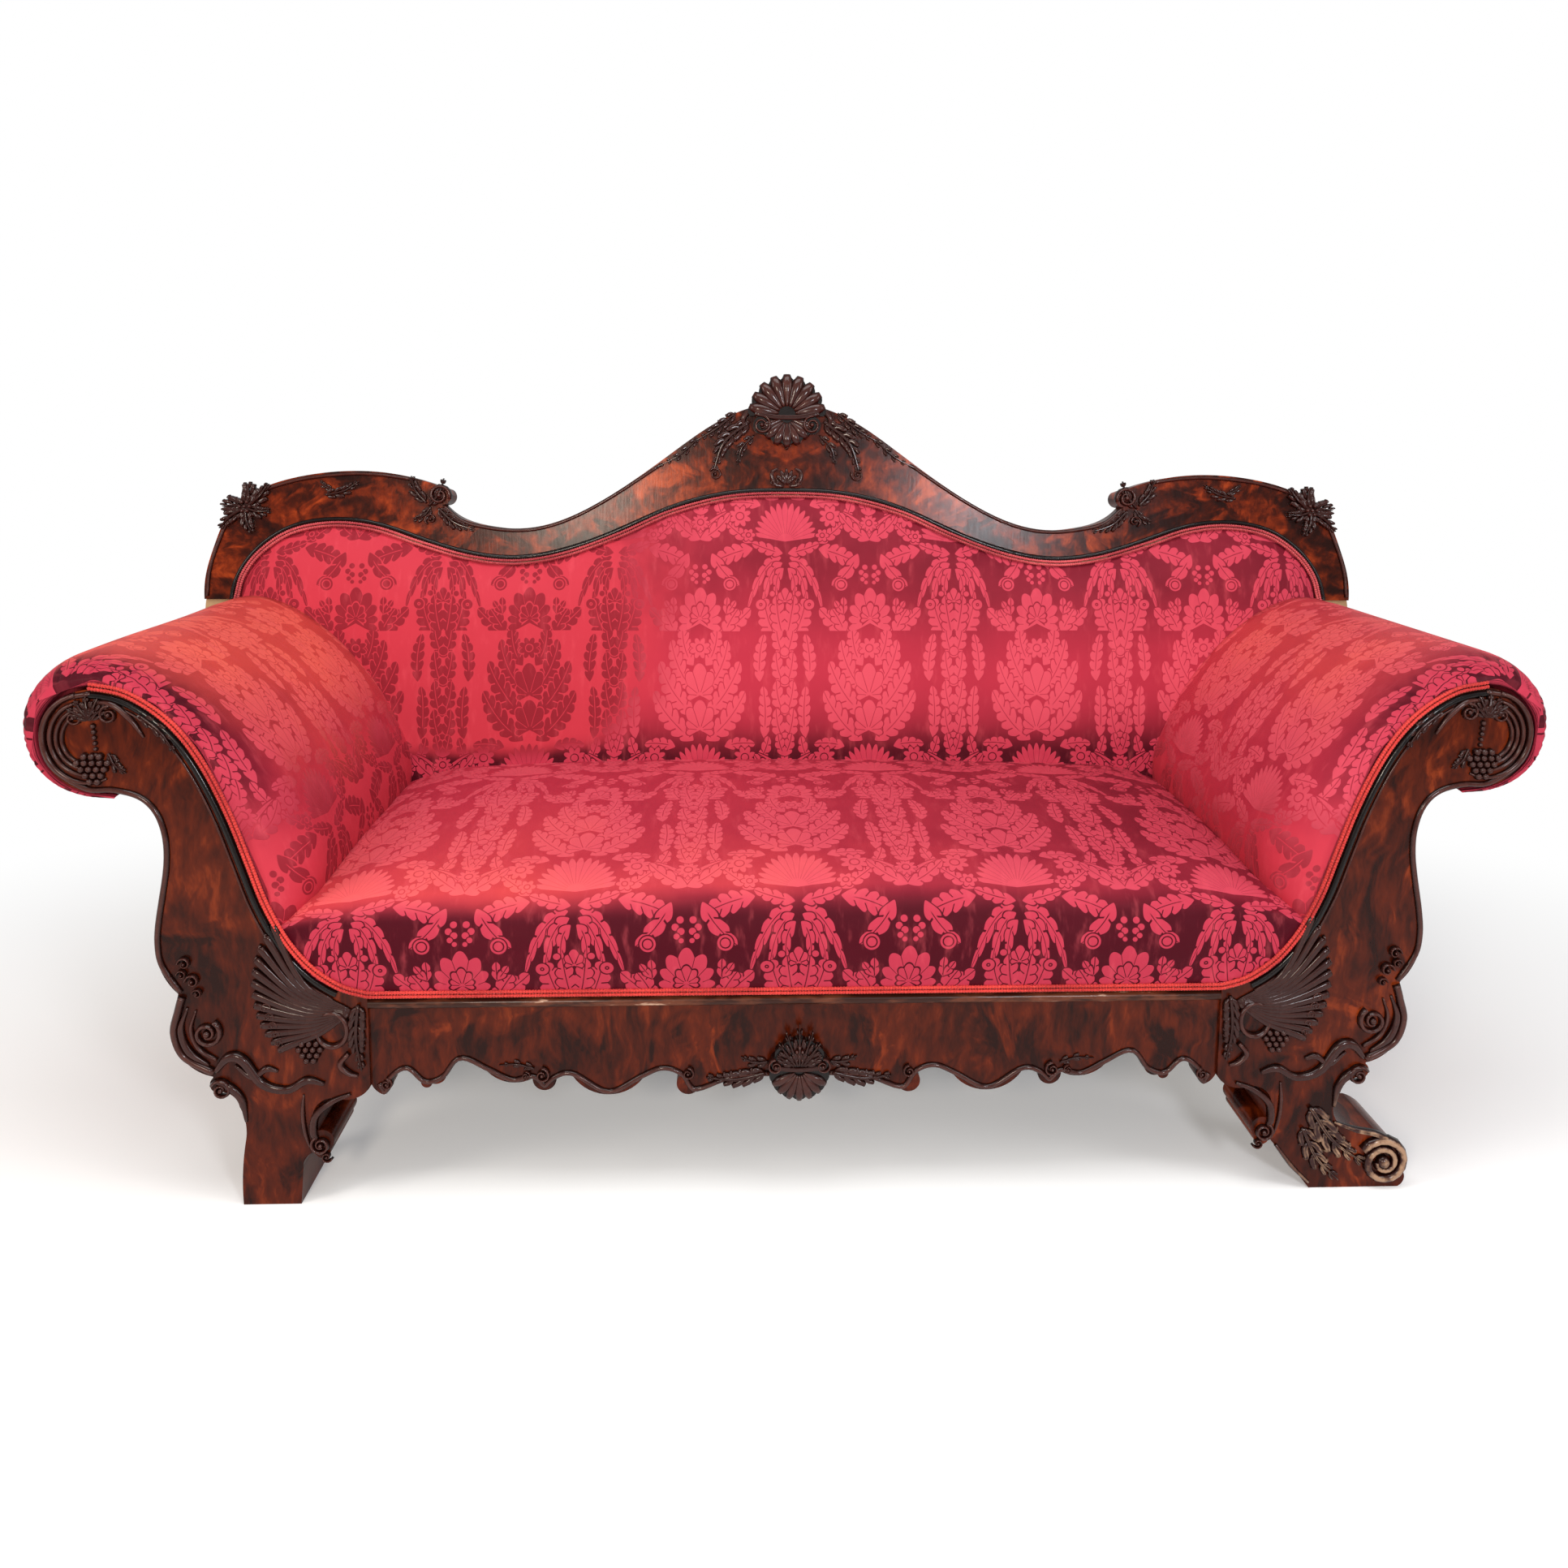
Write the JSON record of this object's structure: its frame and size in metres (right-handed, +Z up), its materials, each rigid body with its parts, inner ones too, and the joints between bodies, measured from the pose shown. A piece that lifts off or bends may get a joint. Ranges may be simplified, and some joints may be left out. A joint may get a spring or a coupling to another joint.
{
  "type": "camelback sofa",
  "caption": "Upholstered sofa with a humped show-wood back, scroll arms, sprung tight seat, carved facings and scroll feet.",
  "frame": {"origin": "on the floor, under the middle of the sofa's overall width and depth", "axes": "+X towards the viewer's right along the sofa, +Z up, the seat faces -Y"},
  "size_m": [2.17, 0.7221, 1.204],
  "materials": {
    "carved_mahogany": "carved, French polished",
    "flame_mahogany": "flame veneer, French polished to a gloss",
    "frame_wood": "plain sawn hardwood",
    "steel": "plain wire and screws",
    "stuffing": "hair and fibre under hessian",
    "webbing": "woven jute tape",
    "canvas": "plain woven canvas",
    "gimp": "silky double cord",
    "damask": "woven damask with a soft sheen"
  },
  "bodies": {
    "root": {"apron_shell": "carved_mahogany", "arm_cover_left": "damask", "arm_cover_right": "damask", "arm_facing_left": "carved_mahogany", "arm_facing_right": "carved_mahogany", "arm_stay_rail_left": "frame_wood", "arm_stay_rail_right": "frame_wood", "arm_stuffing_left": "stuffing", "arm_stuffing_right": "stuffing", "arm_top_rail_left": "frame_wood", "arm_top_rail_right": "frame_wood", "arm_webbing_left": "webbing", "arm_webbing_right": "webbing", "back_bead": "carved_mahogany", "back_cover": "damask", "back_gimp": "gimp", "back_rail": "frame_wood", "back_shoulder_left": "flame_mahogany", "back_shoulder_right": "flame_mahogany", "back_stay_rail": "frame_wood", "back_stile_left": "frame_wood", "back_stile_right": "frame_wood", "back_stuffing": "stuffing", "back_uprights": "frame_wood", "back_webbing": "webbing", "block_screws": "steel", "corner_blocks": "frame_wood", "crest_rail": "flame_mahogany", "crest_shell": "carved_mahogany", "dust_cover": "canvas", "facing_bead_left": "carved_mahogany", "facing_bead_right": "carved_mahogany", "front_apron": "flame_mahogany", "front_foot_left": "carved_mahogany", "front_foot_right": "carved_mahogany", "front_gimp": "gimp", "front_post_left": "frame_wood", "front_post_right": "frame_wood", "front_rail": "frame_wood", "outside_arm_cover_left": "damask", "outside_arm_cover_right": "damask", "outside_back_cover": "damask", "rail_moulding": "carved_mahogany", "rear_leg_left": "flame_mahogany", "rear_leg_right": "flame_mahogany", "seat_cover": "damask", "seat_cross_rail": "frame_wood", "seat_springs": "steel", "seat_stuffing": "stuffing", "seat_webbing": "webbing", "side_rail_left": "flame_mahogany", "side_rail_right": "flame_mahogany", "spring_canvas": "canvas"}
  },
  "joints": []
}
